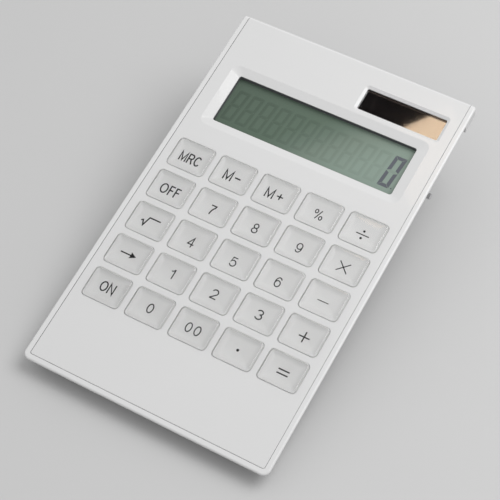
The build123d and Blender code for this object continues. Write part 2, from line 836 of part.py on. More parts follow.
# --- screws -------------------------------------------------------------------------------
with BuildPart() as case_screws:
    for u, v in case_screw_spots:
        disc(head_seat - case_head_height, head_seat, case_head_radius, u, v)
        disc(head_seat, case_screw_tip, case_screw_radius, u, v)
save(case_screws.part, "case_screws")

with BuildPart() as board_screws:
    for u, v in board_screw_spots:
        disc(under_board - board_head_height, under_board, board_head_radius, u, v)
        disc(under_board, board_screw_tip, board_screw_radius, u, v)
save(board_screws.part, "board_screws")
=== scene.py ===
# %% [markdown]
# # Dressing a desk calculator
# The solids come ready packed, and each already rides on the body that moves it. This lesson gives
# them their finishes, and makes what a solid model leaves out: clear key caps over printed
# legends, the digits of the display, the cell's strips and the screws' recesses.

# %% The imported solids
import json
import math

import bmesh
import bpy
from mathutils import Matrix, Vector


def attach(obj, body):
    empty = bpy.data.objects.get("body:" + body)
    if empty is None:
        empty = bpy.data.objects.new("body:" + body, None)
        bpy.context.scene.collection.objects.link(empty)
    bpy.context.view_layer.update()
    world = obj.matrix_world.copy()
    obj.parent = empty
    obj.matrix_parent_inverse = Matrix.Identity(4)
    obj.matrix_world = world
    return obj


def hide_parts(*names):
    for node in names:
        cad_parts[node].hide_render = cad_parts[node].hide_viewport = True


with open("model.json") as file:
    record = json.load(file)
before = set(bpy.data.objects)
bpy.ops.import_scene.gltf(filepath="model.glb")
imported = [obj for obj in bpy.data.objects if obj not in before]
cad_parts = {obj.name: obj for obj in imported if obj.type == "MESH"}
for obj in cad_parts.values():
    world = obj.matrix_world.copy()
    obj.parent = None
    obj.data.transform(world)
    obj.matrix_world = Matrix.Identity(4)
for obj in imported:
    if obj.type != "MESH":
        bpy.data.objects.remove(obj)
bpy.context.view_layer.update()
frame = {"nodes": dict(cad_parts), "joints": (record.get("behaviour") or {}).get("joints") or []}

MM = 0.001
nodes = frame["nodes"]

# %% [markdown]
# The deck leans towards the user, so nothing on it lies square to the world. A key slides straight
# into the deck, so its joint's axis gives the deck's upright, and the middle key gives the place.
# One matrix then turns deck sizes in millimetres (to the right, to the rear, up) into world metres.

# %% The deck's own frame
KEY_RISE = 1.4
joints = {joint["child"]: joint for joint in frame["joints"]}
upright = -Vector(joints["key_5_cap"]["axis"])
across = Vector((1, 0, 0))
rearward = upright.cross(across)


def reach(node, way):
    """Lowest and highest point of a node along one direction, in millimetres."""
    along = [vertex.co.dot(way) / MM for vertex in nodes[node].data.vertices]
    return min(along), max(along)


def middle(node, way):
    """Halfway between a node's two ends along one direction, in millimetres."""
    low, high = reach(node, way)
    return (low + high) / 2


home = rearward * middle("key_5", rearward) + upright * (reach("key_5", upright)[1] - KEY_RISE)
deck = Matrix.Translation(home * MM) @ Matrix((across, rearward, upright)).transposed().to_4x4()
deck = deck @ Matrix.Scale(MM, 4)
print("deck leans", round(math.degrees(math.asin(-upright.y)), 2), "degrees")

# %% [markdown]
# ## Camera first
# A long lens from the front right, high enough to read the keys. It aims a little behind and to
# the right of the middle key and rolls by under a degree, as a hand-held camera does.

# %% Camera
AIM = (3.2, 6.75, 0)
DISTANCE, AZIMUTH, ELEVATION, ROLL = 647.9, 28.96, 51.74, 0.751
FOCAL_LENGTH, SENSOR_WIDTH, NEAREST = 112.2, 36, 0.05


def direction(azimuth, elevation):
    """The unit direction from the object to a viewer or lamp; azimuth 0 is in front."""
    turn, rise = math.radians(azimuth), math.radians(elevation)
    level = math.cos(rise)
    return Vector((math.sin(turn) * level, -math.cos(turn) * level, math.sin(rise)))


def facing(way, roll):
    """The rotation that looks back along a direction, rolled about it by some degrees."""
    straight = way.to_track_quat("Z", "Y").to_matrix().to_4x4()
    return (straight @ Matrix.Rotation(math.radians(roll), 4, "Z")).to_euler()


aim = deck @ Vector(AIM)
view_way = direction(AZIMUTH, ELEVATION)
camera = bpy.data.objects.new("camera", bpy.data.cameras.new("camera"))
camera.data.lens = FOCAL_LENGTH
camera.data.sensor_width = SENSOR_WIDTH
camera.data.clip_start = NEAREST
camera.location = aim + view_way * DISTANCE * MM
camera.rotation_euler = facing(view_way, ROLL)
bpy.context.scene.collection.objects.link(camera)
bpy.context.scene.camera = camera
bpy.context.scene.view_settings.view_transform = "Standard"
print("camera at", [round(c, 3) for c in camera.location])

# %% [markdown]
# ## Shared effects
# Several finishes need the same small faults: a surface that drifts a little in tone, the faint
# waviness of a moulding, and the marks that hands leave. Each is a node group, made once, that puts
# out a colour or a value for the shader of whichever material uses it.

# %% Node helpers
def wire(tree, start, end):
    """Join two sockets."""
    tree.links.new(start, end)


def set_inputs(node, values):
    """Set a node's inputs by name; an underscore stands for a space."""
    for name, value in values.items():
        node.inputs[name.replace("_", " ")].default_value = value
    return node


def add(tree, kind, **values):
    """A node with some of its inputs set by name."""
    return set_inputs(tree.nodes.new(kind), values)


def maths(tree, operation, first, second):
    """A Math node; first and second are sockets or plain numbers."""
    node = tree.nodes.new("ShaderNodeMath")
    node.operation = operation
    for place, value in enumerate((first, second)):
        if isinstance(value, (int, float)):
            node.inputs[place].default_value = value
        else:
            wire(tree, value, node.inputs[place])
    return node.outputs[0]


def group(name, inputs, outputs):
    """An empty shader group from rows of name and socket type, with a default for each input."""
    tree = bpy.data.node_groups.new(name, "ShaderNodeTree")
    for label, kind, value in inputs:
        socket = tree.interface.new_socket(label, in_out="INPUT", socket_type=kind)
        socket.default_value = value
    for label, kind in outputs:
        tree.interface.new_socket(label, in_out="OUTPUT", socket_type=kind)
    return tree, tree.nodes.new("NodeGroupInput"), tree.nodes.new("NodeGroupOutput")


FLOAT, COLOUR = "NodeSocketFloat", "NodeSocketColor"
print("groups pass on", FLOAT, "and", COLOUR)


# %% Tone drift: a colour that wanders slightly over a moulding
drift, take, give = group(
    "tone drift",
    [("Color", COLOUR, (0.8, 0.8, 0.8, 1)), ("Amount", FLOAT, 0.03), ("Scale", FLOAT, 40.0)],
    [("Color", COLOUR)],
)
coords = drift.nodes.new("ShaderNodeTexCoord")
cloud = add(drift, "ShaderNodeTexNoise", Detail=4.0, Roughness=0.55)
wire(drift, coords.outputs["Object"], cloud.inputs["Vector"])
wire(drift, take.outputs["Scale"], cloud.inputs["Scale"])
centred = maths(drift, "SUBTRACT", cloud.outputs["Fac"], 0.5)
shade = maths(drift, "MULTIPLY", centred, take.outputs["Amount"])
tint = drift.nodes.new("ShaderNodeHueSaturation")
wire(drift, maths(drift, "ADD", shade, 1.0), tint.inputs["Value"])
wire(drift, take.outputs["Color"], tint.inputs["Color"])
wire(drift, tint.outputs["Color"], give.inputs["Color"])
print(drift.name, "has", len(drift.nodes), "nodes")

# %% Skin: fine grain over a slow wave, as a moulding has
skin, take, give = group(
    "moulded skin",
    [("Grain scale", FLOAT, 3000.0), ("Wave scale", FLOAT, 120.0), ("Wave share", FLOAT, 0.5)],
    [("Height", FLOAT)],
)
coords = skin.nodes.new("ShaderNodeTexCoord")
grain = add(skin, "ShaderNodeTexNoise", Detail=2.0)
wave = add(skin, "ShaderNodeTexNoise", Detail=1.0)
for noise, label in ((grain, "Grain scale"), (wave, "Wave scale")):
    wire(skin, coords.outputs["Object"], noise.inputs["Vector"])
    wire(skin, take.outputs[label], noise.inputs["Scale"])
slow = maths(skin, "MULTIPLY", wave.outputs["Fac"], take.outputs["Wave share"])
wire(skin, maths(skin, "ADD", grain.outputs["Fac"], slow), give.inputs["Height"])
print(skin.name, "has", len(skin.nodes), "nodes")

# %% Handling: where fingers have dulled a polished face
handling, take, give = group(
    "handling marks",
    [("Roughness", FLOAT, 0.2), ("Amount", FLOAT, 0.1), ("Scale", FLOAT, 60.0)],
    [("Roughness", FLOAT)],
)
coords = handling.nodes.new("ShaderNodeTexCoord")
smear = add(handling, "ShaderNodeTexNoise", Detail=5.0, Roughness=0.65, Distortion=0.8)
wire(handling, coords.outputs["Object"], smear.inputs["Vector"])
wire(handling, take.outputs["Scale"], smear.inputs["Scale"])
patch = add(handling, "ShaderNodeMapRange", From_Min=0.45, From_Max=0.75)
wire(handling, smear.outputs["Fac"], patch.inputs["Value"])
dulled = maths(handling, "MULTIPLY", patch.outputs[0], take.outputs["Amount"])
wire(handling, maths(handling, "ADD", dulled, take.outputs["Roughness"]), give.inputs["Roughness"])
print("shared groups:", [tree.name for tree in bpy.data.node_groups])

# %% [markdown]
# ## Finishes
# One function builds a finish from the three groups round a Principled shader. What is the same all
# over, such as the clear coat or how well light passes through, is set on the shader itself.

# %% Building a finish
def place_group(tree, source, **values):
    """Put a shared group into a material, with its own values."""
    node = tree.nodes.new("ShaderNodeGroup")
    node.node_tree = source
    return set_inputs(node, values)


def finish(name, colour, rough, dull=0.08, drift_by=0.03, drift_scale=40.0, grain=3000.0,
           wave=120.0, depth=0.004, **shader):
    """A moulded, rolled or printed surface; depth is the relief's height in millimetres."""
    material = bpy.data.materials.new(name)
    material.use_nodes = True
    tree = material.node_tree
    surface = set_inputs(tree.nodes["Principled BSDF"], shader)
    tone = place_group(tree, drift, Color=(*colour, 1), Amount=drift_by, Scale=drift_scale)
    marks = place_group(tree, handling, Roughness=rough, Amount=dull)
    relief = place_group(tree, skin, Grain_scale=grain, Wave_scale=wave)
    bump = add(tree, "ShaderNodeBump", Distance=depth * MM)
    wire(tree, relief.outputs["Height"], bump.inputs["Height"])
    wire(tree, tone.outputs["Color"], surface.inputs["Base Color"])
    wire(tree, marks.outputs["Roughness"], surface.inputs["Roughness"])
    wire(tree, bump.outputs["Normal"], surface.inputs["Normal"])
    return material


print("each finish starts from", drift.name + ",", handling.name, "and", skin.name)


# %% Changing a finish, and giving it to solids
def brightened(material, factor):
    """Multiply a finish's colour by the number that comes out of a socket."""
    tree = material.node_tree
    surface = tree.nodes["Principled BSDF"]
    scaled = tree.nodes.new("ShaderNodeHueSaturation")
    wire(tree, factor, scaled.inputs["Value"])
    wire(tree, surface.inputs["Base Color"].links[0].from_socket, scaled.inputs["Color"])
    wire(tree, scaled.outputs["Color"], surface.inputs["Base Color"])


def lamp_light_through(material, colour=(1, 1, 1)):
    """Let lamp light pass through a clear material, instead of leaving what is under it dark."""
    tree = material.node_tree
    surface = tree.nodes["Principled BSDF"]
    clear = add(tree, "ShaderNodeBsdfTransparent", Color=(*colour, 1))
    path = tree.nodes.new("ShaderNodeLightPath")
    mix = tree.nodes.new("ShaderNodeMixShader")
    wire(tree, path.outputs["Is Shadow Ray"], mix.inputs[0])
    wire(tree, surface.outputs[0], mix.inputs[1])
    wire(tree, clear.outputs[0], mix.inputs[2])
    wire(tree, mix.outputs[0], tree.nodes["Material Output"].inputs["Surface"])


def dress(material, *names):
    """Give solids a finish."""
    for name in names:
        nodes[name].data.materials.clear()
        nodes[name].data.materials.append(material)


print(len(nodes), "solids wait for a finish")

# %% [markdown]
# ### White mouldings
# The case and its cover are white ABS with a soft gloss. A moulded skin has a very shallow waviness
# that breaks long reflections, so the relief stays near a micrometre. A thin clear coat over a
# duller base gives that gloss better than one middling roughness would.

# %% Case and cover
case_white = finish(
    "case plastic", (0.73, 0.73, 0.73), 0.22, depth=0.0015, drift_by=0.02, Coat_Weight=0.3
)
cover_white = finish(
    "cover plastic", (0.70, 0.70, 0.70), 0.20, depth=0.001, drift_by=0.02, Coat_Weight=0.3
)
dress(case_white, "bottom_case", "battery_door")
dress(cover_white, "top_cover")
print("white:", case_white.name, "and", cover_white.name)

# %% [markdown]
# ### Rubber, metal and what lies inside
# Rubber and foam scatter light and hardly shine, so they are rough and have a coarse relief. A
# metal shows little but its reflection: Metallic is 1, and the base colour tints the mirror. Boards
# and parts inside get their finish too, since a case can be opened.

# %% Rubber and foam
foot_rubber = finish("foot rubber", (0.07, 0.07, 0.07), 0.75, grain=5000, depth=0.02, drift_by=0.2)
sleeve_rubber = finish(
    "sleeve rubber", (0.03, 0.03, 0.03), 0.7, grain=5000, depth=0.02, drift_by=0.2
)
foam = finish("black foam", (0.09, 0.093, 0.098), 0.95, grain=2500, depth=0.08, drift_by=0.4)
dome_rubber = finish("dome rubber", (0.52, 0.52, 0.50), 0.6, depth=0.01)
dress(foot_rubber, "front_feet", "rear_feet")
dress(sleeve_rubber, "stand_sleeves")
dress(foam, "display_gasket", "lcd_foam_pads")
dress(dome_rubber, "dome_sheet")
print(len(bpy.data.materials), "finishes with the rubbers")

# %% Metal
plated = finish(
    "stand steel", (0.62, 0.62, 0.63), 0.22, grain=1500, wave=300, depth=0.003, Metallic=1.0
)
zinc = finish(
    "screw steel", (0.55, 0.55, 0.54), 0.35, grain=4000, depth=0.006, drift_by=0.15, Metallic=1.0
)
spring = finish("contact steel", (0.70, 0.69, 0.64), 0.3, drift_by=0.08, Metallic=1.0)
can_steel = finish("battery steel", (0.66, 0.66, 0.66), 0.28, drift_by=0.08, Metallic=1.0)
foil = finish("reflector foil", (0.75, 0.75, 0.75), 0.35, Metallic=1.0)
dress(plated, "stand_wire")
dress(zinc, "case_screws", "board_screws")
dress(spring, "battery_contact_plus", "battery_contact_minus")
dress(can_steel, "battery")
dress(foil, "lcd_reflector")
print(len(bpy.data.materials), "finishes with the metals")

# %% Boards and small parts
laminate = finish(
    "board laminate", (0.06, 0.22, 0.09), 0.35, drift_by=0.25, drift_scale=300, Coat_Weight=0.4
)
carbon = finish("carbon ink", (0.02, 0.02, 0.02), 0.8, grain=6000, depth=0.01)
resin = finish("chip resin", (0.012, 0.012, 0.012), 0.18, wave=500, depth=0.02)
ceramic = finish("capacitor ceramic", (0.35, 0.25, 0.16), 0.6, drift_by=0.2, drift_scale=500)
film = finish("ribbon film", (0.30, 0.22, 0.12), 0.35, drift_by=0.1)
lead = finish("lead sleeve", (0.42, 0.04, 0.03), 0.45)
dress(laminate, "circuit_board")
dress(carbon, "contact_pads")
dress(resin, "chip_blob")
dress(ceramic, "board_capacitors")
dress(film, "lcd_ribbon")
dress(lead, "solar_leads")
print(len(bpy.data.materials), "finishes so far")

# %% [markdown]
# ## Meshes from rings
# Caps, plungers and screws are all stacks of outlines. A helper joins rings of points into one
# closed skin. Every ring runs the same way round, so its faces point outwards. Where the next ring
# turns back into the piece, as in a pan or a recess, the faces turn with it.

# %% Ring helpers
def rounded_ring(half_u, half_v, corner, level, arc=6):
    """Points of a rounded rectangle at one level, anticlockwise from the right."""
    points = []
    for quarter, (su, sv) in enumerate(((1, 1), (-1, 1), (-1, -1), (1, -1))):
        for step in range(arc + 1):
            turn = math.radians(90 * (quarter + step / arc))
            points.append(
                (
                    su * (half_u - corner) + corner * math.cos(turn),
                    sv * (half_v - corner) + corner * math.sin(turn),
                    level,
                )
            )
    return points


def skin_of(rings, sharp=()):
    """A closed mesh through rings, the underside's first; sharp lists the crisp ones."""
    mesh = bmesh.new()
    rows = [[mesh.verts.new(point) for point in ring] for ring in rings]
    count = len(rows[0])
    for low, high in zip(rows, rows[1:]):
        for i in range(count):
            j = (i + 1) % count
            mesh.faces.new((low[i], low[j], high[j], high[i]))
    mesh.faces.new(rows[0][::-1])
    mesh.faces.new(rows[-1])
    for face in mesh.faces:
        face.smooth = True
    for index in sharp:
        row = rows[index]
        for i in range(count):
            mesh.edges.get((row[i], row[(i + 1) % count])).smooth = False
    return mesh


print("a rounded outline has", len(rounded_ring(1, 1, 0.5, 0)), "points")


# %% From a mesh to a piece
def piece(name, mesh, place, body, material, slot, *replaced):
    """Finish a piece: put its mesh in place on the deck, then hand it to its body."""
    data = bpy.data.meshes.new(name)
    mesh.to_mesh(data)
    mesh.free()
    data.transform(deck @ place)
    data.materials.append(material)
    thing = bpy.data.objects.new(name, data)
    bpy.context.scene.collection.objects.link(thing)
    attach(thing, body)
    if replaced:
        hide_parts(*replaced)


# %% [markdown]
# ## Key caps
# Each key is a thick clear block. Its legend is printed on a pale plunger under it, so it seems to
# float below the deck. The plunger's top is a shallow pan with a groove round it: the pan's slope
# and a painted shade that darkens the pan towards its margin give the faint inner outline of a
# moulded key. A real block between the eye and the print bends and doubles those edges, which flat
# paint could not.

# %% Sizes of a key
# in millimetres; levels are measured from the deck, upwards
KEY_HALF_U, KEY_HALF_V, KEY_CORNER = 8.9, 7.2, 2.0
CAP_FOOT = -1.7
EDGE_ROUND, EDGE_STEPS = 0.8, 5
CROWN = 0.25
FACE_INSETS, FACE_CORNER = (1.6, 2.6, 3.8, 5.2, 6.6), 0.3
FLANGE_LIP, FLANGE_FOOT = 0.8, -2.4
STEM_RADIUS, STEM_FOOT = 2.6, -3.1
PRINT_LEVEL = -0.8
PAN_RISE, PAN_SLOPE = 0.75, 2.4
GROOVE_FLOOR, GROOVE_INSET, GROOVE_LEVEL = 0.24, 0.6, -0.62
CORE_INSET = 0.05
# where the pan's slope bends: shares of its width and of its height
BEND_ALONG, BEND_DOWN = 0.4, 0.5


def key_ring(inset, level, least_corner=0.8):
    """A key's outline drawn in by inset, with corners no tighter than least_corner."""
    corner = max(KEY_CORNER - inset, least_corner)
    return rounded_ring(KEY_HALF_U - inset, KEY_HALF_V - inset, corner, level)


print("a key is", 2 * KEY_HALF_U, "by", 2 * KEY_HALF_V, "mm")


# %% Cap and plunger
def cap_rings():
    """Outlines of the clear cap: upright sides, a rounded edge and a slightly crowned face."""
    rings = [key_ring(0, CAP_FOOT)]
    for step in range(EDGE_STEPS + 1):
        turn = math.radians(90 * step / EDGE_STEPS)
        inset = EDGE_ROUND * (1 - math.cos(turn))
        rings.append(key_ring(inset, KEY_RISE - CROWN - EDGE_ROUND * (1 - math.sin(turn))))
    for inset in FACE_INSETS:
        across_face = (inset - EDGE_ROUND) / (KEY_HALF_V - EDGE_ROUND)
        rings.append(key_ring(inset, KEY_RISE - CROWN * (1 - across_face) ** 2, FACE_CORNER))
    return rings


def plunger():
    """The pale part under a cap: stem, flange and a printed pan with a groove round it."""
    lip = PRINT_LEVEL + PAN_RISE
    rings = [
        rounded_ring(STEM_RADIUS, STEM_RADIUS, STEM_RADIUS, STEM_FOOT),
        rounded_ring(STEM_RADIUS, STEM_RADIUS, STEM_RADIUS, FLANGE_FOOT),
        key_ring(-FLANGE_LIP, FLANGE_FOOT),
        key_ring(-FLANGE_LIP, CAP_FOOT),
        key_ring(CORE_INSET, CAP_FOOT),
        key_ring(CORE_INSET, GROOVE_LEVEL),
        key_ring(GROOVE_FLOOR, GROOVE_LEVEL),
        key_ring(GROOVE_INSET, lip),
        key_ring(GROOVE_INSET + PAN_SLOPE * BEND_ALONG, lip - PAN_RISE * BEND_DOWN),
        key_ring(GROOVE_INSET + PAN_SLOPE, PRINT_LEVEL),
    ]
    mesh = skin_of(rings, sharp=range(len(rings) - 2))
    # the margin value is 1 at the pan's edge and drives a painted shade there
    margin = mesh.verts.layers.float.new("margin")
    for vertex in mesh.verts:
        depth = min(KEY_HALF_U - abs(vertex.co.x), KEY_HALF_V - abs(vertex.co.y)) - GROOVE_INSET
        vertex[margin] = min(max(1 - depth / PAN_SLOPE, 0), 1)
    return mesh


print("a cap has", len(cap_rings()), "outlines")

# %% [markdown]
# ## Legends
# The signs are thin strokes of even width with round bends. A font could set them, but only at its
# own weights and widths. So each sign is written as strokes, each key says how wide its pen and its
# ink are, and the strokes become thin slabs that lie on the plunger's pan.

# %% Pen strokes
# a sign's height, then half of it to the middle of the pen and to the end of the ink
PEN = 0.58
TALL = 4.65
LINE = (TALL - PEN) / 2
END = TALL / 2


def arc(cu, cv, ru, rv, start, stop, steps=14):
    """Points along an elliptical arc, in degrees anticlockwise from the right."""
    turns = [math.radians(start + (stop - start) * step / steps) for step in range(steps + 1)]
    return [(cu + ru * math.cos(t), cv + rv * math.sin(t)) for t in turns]


def oval(cu, cv, ru, rv):
    """A closed oval as one stroke."""
    return arc(cu, cv, ru, rv, 90, 450, 28)


def dot(cu, cv, radius, count):
    """The outline of a round dot."""
    return arc(cu, cv, radius, radius, 0, 360 - 360 / count, count - 1)


def stretched(strokes, width, tall, pen):
    """Strokes scaled sideways so that their ink is as wide as asked, and upwards by a factor."""
    us = [u for stroke in strokes for u, _ in stroke]
    mid = (max(us) + min(us)) / 2
    by = (width - pen) / (max(us) - min(us))
    return [[((u - mid) * by, v * tall) for u, v in stroke] for stroke in strokes]


print("signs are", TALL, "mm tall")

# %% The signs
GLYPHS = {
    "0": [oval(0, 0, 1.35, LINE)],
    "1": [[(0.4, -END), (0.4, 2.3)], arc(-0.95, 2.75, 1.35, 1.55, 270, 345, 6)],
    "2": [
        arc(0, 0.85, 1.3, 1.28, 165, -35) + [(-1.35, -LINE + 0.05)],
        [(-1.5, -LINE), (1.5, -LINE)],
    ],
    "3": [arc(-0.05, 1.08, 1.2, 1.05, 160, -85), arc(-0.05, -1.0, 1.38, 1.13, 85, -160)],
    "4": [[(0.6, -END), (0.6, 2.2), (-1.5, -0.9), (1.6, -0.9)]],
    "5": [[(1.25, LINE), (-0.8, LINE), (-1.1, 0.0)] + arc(0.0, -0.72, 1.36, 1.42, 140, -158)],
    "6": [oval(0.02, -0.78, 1.34, 1.36), arc(0.12, 0, 1.46, LINE, 38, 195)],
    "7": [[(-1.5, LINE), (1.4, LINE)] + arc(2.6, -2.6, 3.1, 4.2, 118, 180, 8)],
    "8": [oval(0, 1.09, 1.12, 1.04), oval(0, -1.03, 1.38, 1.1)],
    "9": [oval(-0.02, 0.78, 1.34, 1.36), arc(-0.12, 0, 1.46, LINE, 218, 375)],
    "M": [[(-1.6, -END), (-1.6, LINE), (0, -END + 0.5), (1.6, LINE), (1.6, -END)]],
    "R": [
        [(-1.4, -END), (-1.4, LINE), (0.3, LINE)]
        + arc(0.3, 1.0, 1.1, LINE - 1.0, 85, -85)
        + [(-1.4, -0.12)],
        [(0.3, -0.1), (1.45, -END)],
    ],
    "C": [arc(0, 0, 1.55, LINE, 40, 320, 22)],
    "O": [oval(0, 0, 1.65, LINE)],
    "F": [[(-1.1, -END), (-1.1, LINE), (1.3, LINE)], [(-1.1, 0.1), (1.0, 0.1)]],
    "N": [[(-1.3, -END), (-1.3, 2.2), (1.3, -2.2), (1.3, END)]],
    "-": [[(-END, 0), (END, 0)]],
    "+": [[(-END, 0), (END, 0)], [(0, -END), (0, END)]],
    "x": [[(-LINE, -LINE), (LINE, LINE)], [(-LINE, LINE), (LINE, -LINE)]],
    "=": [[(-END, 1.0), (END, 1.0)], [(-END, -1.0), (END, -1.0)]],
    "root": [[(-3.9, -0.35), (-3.1, 0.15), (-2.2, -2.1), (-1.0, 1.95), (3.95, 1.95)]],
    "arrow": [[(-3.75, 0), (2.2, 0)]],
    "small +": [[(-1.4, 0), (1.4, 0)], [(0, -1.4), (0, 1.4)]],
    "%": [oval(-1.45, 1.3, 0.68, 0.9), oval(1.45, -1.3, 0.68, 0.9), [(-0.95, -END), (0.95, END)]],
}
print(len(GLYPHS), "signs")

# %% What each key says
# pen, height factor, place across and rearward, then each sign with its ink width and middle
LEGENDS = {
    "on": (0.60, 1.03, 0.0, 0.95, [("O", 3.45, -1.72), ("N", 3.0, 1.9)]),
    "0": (0.50, 1.0, 0.1, 0.75, [("0", 2.9, 0)]),
    "00": (0.50, 1.0, -0.15, 0.55, [("0", 2.9, -2.05), ("0", 2.9, 2.05)]),
    "point": (0.50, 1.0, -0.1, 0.9, []),
    "equals": (0.58, 0.9, 0.1, 0.3, [("=", 5.6, 0)]),
    "backspace": (0.56, 1.0, -0.3, 0.7, [("arrow", 6.5, -0.78)]),
    "1": (0.50, 0.97, 0.3, 1.0, [("1", 2.0, -0.2)]),
    "2": (0.50, 0.98, -0.1, 0.7, [("2", 3.45, 0)]),
    "3": (0.52, 0.96, 0.15, 0.8, [("3", 3.3, 0)]),
    "plus": (0.56, 1.05, 0.35, 0.2, [("+", 5.4, 0)]),
    "sqrt": (0.60, 1.05, 0.0, 0.25, [("root", 8.9, 0.1)]),
    "4": (0.50, 1.03, 0.0, -0.1, [("4", 3.3, 0)]),
    "5": (0.47, 0.97, -0.45, -0.2, [("5", 3.0, 0)]),
    "6": (0.47, 1.02, -0.15, -0.2, [("6", 2.85, 0)]),
    "minus": (0.36, 1.0, -0.3, 0.1, [("-", 5.4, 0)]),
    "off": (0.62, 1.05, -0.1, 0.05, [("O", 3.6, -2.85), ("F", 2.5, 0.75), ("F", 2.5, 3.6)]),
    "7": (0.58, 0.95, 0.05, -0.1, [("7", 2.9, 0)]),
    "8": (0.48, 1.0, 0.05, 0.1, [("8", 2.85, 0)]),
    "9": (0.46, 1.0, 0.1, 0.05, [("9", 2.85, 0)]),
    "multiply": (0.46, 1.14, -0.1, 0.2, [("x", 5.3, 0)]),
    "mrc": (0.62, 1.05, -0.25, 0.05, [("M", 3.4, -3.2), ("R", 2.8, 0.35), ("C", 2.8, 3.55)]),
    "m_minus": (0.66, 1.08, 0.1, 0.25, [("M", 4.0, -2.2), ("-", 3.3, 2.35)]),
    "m_plus": (0.60, 1.05, -0.35, 0.35, [("M", 3.9, -2.3), ("small +", 3.4, 2.5)]),
    "percent": (0.46, 0.96, 0.0, 0.05, [("%", 4.45, 0)]),
    "divide": (0.46, 1.0, 0.0, -0.35, [("-", 6.4, 0)]),
}
# place across and rearward, then radius
DOTS = {
    "point": [(0, -0.3, 0.62)],
    "divide": [(0, 1.7, 0.55), (0, -1.7, 0.55)],
}
ARROW_HEAD = [(1.2, 0), (0.9, -1.5), (3.75, 0), (0.9, 1.5)]
print(len(LEGENDS), "legends")

# %% Strokes and outlines made solid
CLOSED_WITHIN = 1e-6
MITRE_LEAST = 0.35


def ribbon(mesh, stroke, width, level, thick):
    """One stroke as a flat slab of ink, its corners mitred and its ends cut square."""
    closed = (Vector(stroke[0]) - Vector(stroke[-1])).length < CLOSED_WITHIN
    points = [Vector(p) for p in (stroke[:-1] if closed else stroke)]
    count = len(points)
    sides = []
    for i, point in enumerate(points):
        before = points[i - 1] if closed or i > 0 else None
        after = points[(i + 1) % count] if closed or i < count - 1 else None
        spans = ((before, point), (point, after))
        ways = [(b - a).normalized() for a, b in spans if a is not None and b is not None]
        normals = [Vector((-way.y, way.x)) for way in ways]
        lean = sum(normals, Vector((0, 0))).normalized()
        lean = lean / max(lean.dot(normals[0]), MITRE_LEAST)
        sides.append((point + lean * width / 2, point - lean * width / 2))
    rows = [
        [mesh.verts.new((*spot, height)) for spot in pair for height in (level, level + thick)]
        for pair in sides
    ]
    last = count if closed else count - 1
    for i in range(last):
        a, b = rows[i], rows[(i + 1) % count]
        for p, q in ((1, 3), (3, 2), (2, 0), (0, 1)):
            mesh.faces.new((a[p], a[q], b[q], b[p]))
    if not closed:
        for row, order in ((rows[0], (0, 2, 3, 1)), (rows[-1], (1, 3, 2, 0))):
            mesh.faces.new([row[k] for k in order])


def slab(mesh, outline, level, thick):
    """A flat piece of ink or film with the given outline."""
    low = [mesh.verts.new((*p, level)) for p in outline]
    high = [mesh.verts.new((*p, level + thick)) for p in outline]
    mesh.faces.new(low[::-1])
    mesh.faces.new(high)
    for i in range(len(outline)):
        j = (i + 1) % len(outline)
        mesh.faces.new((low[i], low[j], high[j], high[i]))


print("a mitre is at most", round(1 / MITRE_LEAST, 1), "times as long as the pen is wide")

# %% A key's ink
INK = 0.03
LEGEND_SHIFT = (0.21, -0.91)
DOT_POINTS = 24


def legend(sign):
    """The ink of one key, lying on the pan of its plunger."""
    pen, tall, shift_u, shift_v, glyphs = LEGENDS[sign]
    mesh = bmesh.new()
    for glyph, width, middle_u in glyphs:
        for stroke in stretched(GLYPHS[glyph], width, tall, pen):
            ribbon(mesh, [(u + middle_u, v) for u, v in stroke], pen, PRINT_LEVEL, INK)
    for u, v, radius in DOTS.get(sign, []):
        slab(mesh, dot(u, v, radius, DOT_POINTS), PRINT_LEVEL, INK)
    if sign == "backspace":
        slab(mesh, ARROW_HEAD, PRINT_LEVEL, INK)
    bmesh.ops.recalc_face_normals(mesh, faces=mesh.faces)
    place = Vector((LEGEND_SHIFT[0] + shift_u, LEGEND_SHIFT[1] + shift_v, 0))
    bmesh.ops.translate(mesh, verts=mesh.verts, vec=place)
    return mesh


print("ink is", INK, "mm thick")

# %% [markdown]
# ### Finishes of a key
# The cap is clear acrylic. A plain glass shader casts a full shadow and leaves what is under it
# dark, so shadow rays pass straight through here. The plunger's colour darkens towards its margin
# as a painted shade, and a value kept at each point of the mesh says where.

# %% Key finishes
# how far the painted shade darkens a plunger at its margin
PAINTED_MARGIN_SHADE = 0.89
ACRYLIC_INDEX = 1.49
acrylic = finish(
    "key acrylic", (0.98, 0.98, 0.98), 0.06,
    dull=0.05, drift_by=0.01, depth=0.001, Transmission_Weight=1.0, IOR=ACRYLIC_INDEX,
)
lamp_light_through(acrylic, (0.98, 0.98, 0.98))
key_pale = finish("key underside", (0.765, 0.765, 0.76), 0.5, drift_by=0.03, depth=0.003)
paint = key_pale.node_tree
margin = paint.nodes.new("ShaderNodeAttribute")
margin.attribute_name = "margin"
painted_shade = add(paint, "ShaderNodeMapRange", To_Min=1.0, To_Max=PAINTED_MARGIN_SHADE)
wire(paint, margin.outputs["Fac"], painted_shade.inputs["Value"])
brightened(key_pale, painted_shade.outputs[0])
legend_ink = finish(
    "legend ink", (0.012, 0.012, 0.013), 0.45, drift_by=0.25, drift_scale=900, depth=0.003
)
print("key:", acrylic.name, "over", key_pale.name, "and", legend_ink.name)

# %% All the keys
def offset(node, way):
    """A node's middle along one direction, measured from the middle of the deck."""
    return middle(node, way) - home.dot(way)


for node in sorted(name for name in nodes if name.startswith("key_")):
    sign = node.removeprefix("key_")
    place = Matrix.Translation((offset(node, across), offset(node, rearward), 0))
    body = node + "_cap"
    cap = skin_of(cap_rings(), sharp=(0,))
    piece("clear_cap_" + sign, cap, place, body, acrylic, "key_acrylic", node)
    piece("plunger_" + sign, plunger(), place, body, key_pale, "key_acrylic")
    piece("legend_" + sign, legend(sign), place, body, legend_ink, "key_acrylic")
